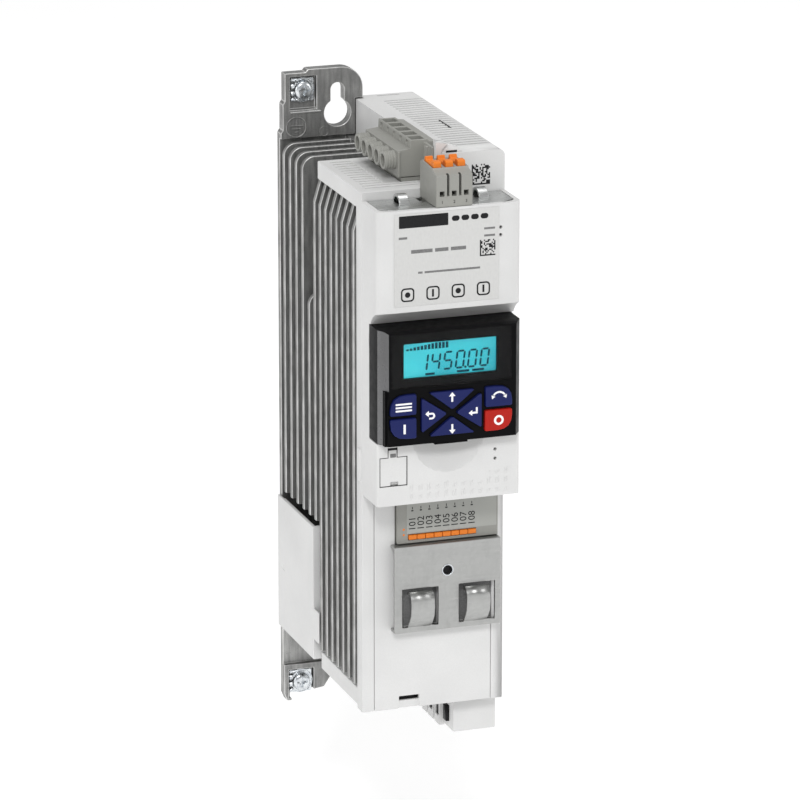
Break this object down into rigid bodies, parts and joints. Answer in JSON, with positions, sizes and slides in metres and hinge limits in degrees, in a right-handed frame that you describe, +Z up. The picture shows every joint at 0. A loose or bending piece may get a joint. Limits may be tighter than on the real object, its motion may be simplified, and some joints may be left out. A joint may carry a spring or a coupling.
{
  "type": "variable frequency drive",
  "caption": "Narrow wall-mounted variable frequency drive with finned heatsink, plug-in terminals, removable keypad with display, shield plates and pull-out cooling fan.",
  "frame": {"origin": "centre of the rear face of the mounting plate, on the wall plane", "axes": "+Z up along the housing, +Y into the wall, +X to the right when the keypad is faced; millimetres in the source, metres here"},
  "size_m": [0.06, 0.1298, 0.265],
  "materials": {
    "cast_aluminium": "as cast, slightly streaky, with bright edges",
    "zinc_steel": "galvanised sheet and zinc plated screws",
    "white_plastic": "fine matt light grey",
    "label_film": "matt printed film",
    "terminal_grey": "satin mid grey",
    "lever_orange": "satin orange",
    "keypad_black": "fine matt black",
    "key_blue": "satin dark blue",
    "key_red": "satin red",
    "window_glass": "smoked clear window",
    "display_teal": "backlit liquid crystal panel",
    "board_green": "green circuit board lacquer",
    "component_black": "matt black",
    "capacitor_sleeve": "shrink sleeve",
    "copper_winding": "enamelled copper wire"
  },
  "bodies": {
    "drive": {"heatsink": "cast_aluminium", "earth_washer_top": "zinc_steel", "earth_washer_bottom": "zinc_steel", "earth_screw_top": "zinc_steel", "earth_screw_bottom": "zinc_steel", "top_shield_plate": "zinc_steel", "lower_shield_bracket": "zinc_steel", "side_housing": "white_plastic", "front_frame": "white_plastic", "lower_front_panel": "white_plastic", "control_cover": "white_plastic", "front_label": "label_film", "mains_header": "terminal_grey", "relay_terminal": "terminal_grey", "control_terminal": "terminal_grey", "motor_header": "terminal_grey", "power_board": "board_green", "control_board": "board_green", "power_module": "component_black", "charging_relay": "component_black", "dc_capacitor_1": "capacitor_sleeve", "dc_capacitor_2": "capacitor_sleeve", "dc_capacitor_3": "capacitor_sleeve", "mains_filter_choke": "copper_winding"},
    "keypad": {"keypad_housing": "keypad_black", "keypad_back": "keypad_black", "keypad_circuit_board": "board_green", "display_module": "display_teal", "display_window": "window_glass"},
    "fan_unit": {"fan_tray": "white_plastic", "fan_frame": "component_black"},
    "key_control": {"key_control": "key_blue"},
    "key_run": {"key_run": "key_blue"},
    "key_up": {"key_up": "key_blue"},
    "key_down": {"key_down": "key_blue"},
    "key_back": {"key_back": "key_blue"},
    "key_enter": {"key_enter": "key_blue"},
    "key_direction": {"key_direction": "key_blue"},
    "key_stop": {"key_stop": "key_red"},
    "relay_lever_1": {"relay_lever_1": "lever_orange"},
    "relay_lever_2": {"relay_lever_2": "lever_orange"},
    "relay_lever_3": {"relay_lever_3": "lever_orange"},
    "control_pusher_1": {"control_pusher_1": "lever_orange"},
    "control_pusher_2": {"control_pusher_2": "lever_orange"},
    "control_pusher_3": {"control_pusher_3": "lever_orange"},
    "control_pusher_4": {"control_pusher_4": "lever_orange"},
    "control_pusher_5": {"control_pusher_5": "lever_orange"},
    "control_pusher_6": {"control_pusher_6": "lever_orange"},
    "control_pusher_7": {"control_pusher_7": "lever_orange"},
    "control_pusher_8": {"control_pusher_8": "lever_orange"},
    "memory_module": {"memory_module": "white_plastic"},
    "mains_plug": {"mains_plug": "terminal_grey"},
    "motor_plug": {"motor_plug": "white_plastic"},
    "fan_rotor": {"fan_rotor": "component_black"}
  },
  "joints": [
    {"name": "keypad_removal", "type": "slide", "parent": "drive", "child": "keypad", "axis": [0, -1, 0], "range_m": [0, 0.015]},
    {"name": "key_control_press", "type": "slide", "parent": "keypad", "child": "key_control", "axis": [0, 1, 0], "range_m": [0, 0.0007], "stiffness_N_per_m": 1200, "springref_m": -0.0003},
    {"name": "key_run_press", "type": "slide", "parent": "keypad", "child": "key_run", "axis": [0, 1, 0], "range_m": [0, 0.0007], "stiffness_N_per_m": 1200, "springref_m": -0.0003},
    {"name": "key_up_press", "type": "slide", "parent": "keypad", "child": "key_up", "axis": [0, 1, 0], "range_m": [0, 0.0007], "stiffness_N_per_m": 1200, "springref_m": -0.0003},
    {"name": "key_down_press", "type": "slide", "parent": "keypad", "child": "key_down", "axis": [0, 1, 0], "range_m": [0, 0.0007], "stiffness_N_per_m": 1200, "springref_m": -0.0003},
    {"name": "key_back_press", "type": "slide", "parent": "keypad", "child": "key_back", "axis": [0, 1, 0], "range_m": [0, 0.0007], "stiffness_N_per_m": 1200, "springref_m": -0.0003},
    {"name": "key_enter_press", "type": "slide", "parent": "keypad", "child": "key_enter", "axis": [0, 1, 0], "range_m": [0, 0.0007], "stiffness_N_per_m": 1200, "springref_m": -0.0003},
    {"name": "key_direction_press", "type": "slide", "parent": "keypad", "child": "key_direction", "axis": [0, 1, 0], "range_m": [0, 0.0007], "stiffness_N_per_m": 1200, "springref_m": -0.0003},
    {"name": "key_stop_press", "type": "slide", "parent": "keypad", "child": "key_stop", "axis": [0, 1, 0], "range_m": [0, 0.0007], "stiffness_N_per_m": 1200, "springref_m": -0.0003},
    {"name": "memory_module_removal", "type": "slide", "parent": "drive", "child": "memory_module", "axis": [0, -1, 0], "range_m": [0, 0.012]},
    {"name": "relay_lever_1_press", "type": "slide", "parent": "drive", "child": "relay_lever_1", "axis": [0, 0, -1], "range_m": [0, 0.0012], "stiffness_N_per_m": 4000, "springref_m": -0.0004},
    {"name": "relay_lever_2_press", "type": "slide", "parent": "drive", "child": "relay_lever_2", "axis": [0, 0, -1], "range_m": [0, 0.0012], "stiffness_N_per_m": 4000, "springref_m": -0.0004},
    {"name": "relay_lever_3_press", "type": "slide", "parent": "drive", "child": "relay_lever_3", "axis": [0, 0, -1], "range_m": [0, 0.0012], "stiffness_N_per_m": 4000, "springref_m": -0.0004},
    {"name": "control_pusher_1_press", "type": "slide", "parent": "drive", "child": "control_pusher_1", "axis": [0, 1, 0], "range_m": [0, 0.0012], "stiffness_N_per_m": 4000, "springref_m": -0.0004},
    {"name": "control_pusher_2_press", "type": "slide", "parent": "drive", "child": "control_pusher_2", "axis": [0, 1, 0], "range_m": [0, 0.0012], "stiffness_N_per_m": 4000, "springref_m": -0.0004},
    {"name": "control_pusher_3_press", "type": "slide", "parent": "drive", "child": "control_pusher_3", "axis": [0, 1, 0], "range_m": [0, 0.0012], "stiffness_N_per_m": 4000, "springref_m": -0.0004},
    {"name": "control_pusher_4_press", "type": "slide", "parent": "drive", "child": "control_pusher_4", "axis": [0, 1, 0], "range_m": [0, 0.0012], "stiffness_N_per_m": 4000, "springref_m": -0.0004},
    {"name": "control_pusher_5_press", "type": "slide", "parent": "drive", "child": "control_pusher_5", "axis": [0, 1, 0], "range_m": [0, 0.0012], "stiffness_N_per_m": 4000, "springref_m": -0.0004},
    {"name": "control_pusher_6_press", "type": "slide", "parent": "drive", "child": "control_pusher_6", "axis": [0, 1, 0], "range_m": [0, 0.0012], "stiffness_N_per_m": 4000, "springref_m": -0.0004},
    {"name": "control_pusher_7_press", "type": "slide", "parent": "drive", "child": "control_pusher_7", "axis": [0, 1, 0], "range_m": [0, 0.0012], "stiffness_N_per_m": 4000, "springref_m": -0.0004},
    {"name": "control_pusher_8_press", "type": "slide", "parent": "drive", "child": "control_pusher_8", "axis": [0, 1, 0], "range_m": [0, 0.0012], "stiffness_N_per_m": 4000, "springref_m": -0.0004},
    {"name": "mains_plug_removal", "type": "slide", "parent": "drive", "child": "mains_plug", "axis": [0, 0, 1], "range_m": [0, 0.012]},
    {"name": "motor_plug_removal", "type": "slide", "parent": "drive", "child": "motor_plug", "axis": [0, 0, -1], "range_m": [0, 0.012]},
    {"name": "fan_unit_removal", "type": "slide", "parent": "drive", "child": "fan_unit", "axis": [0, 0, -1], "range_m": [0, 0.06]},
    {"name": "fan_spin", "type": "hinge", "parent": "fan_unit", "child": "fan_rotor", "pos_m": [-0.0129, -0.0245, -0.069], "axis": [0, 0, 1], "continuous": true}
  ]
}
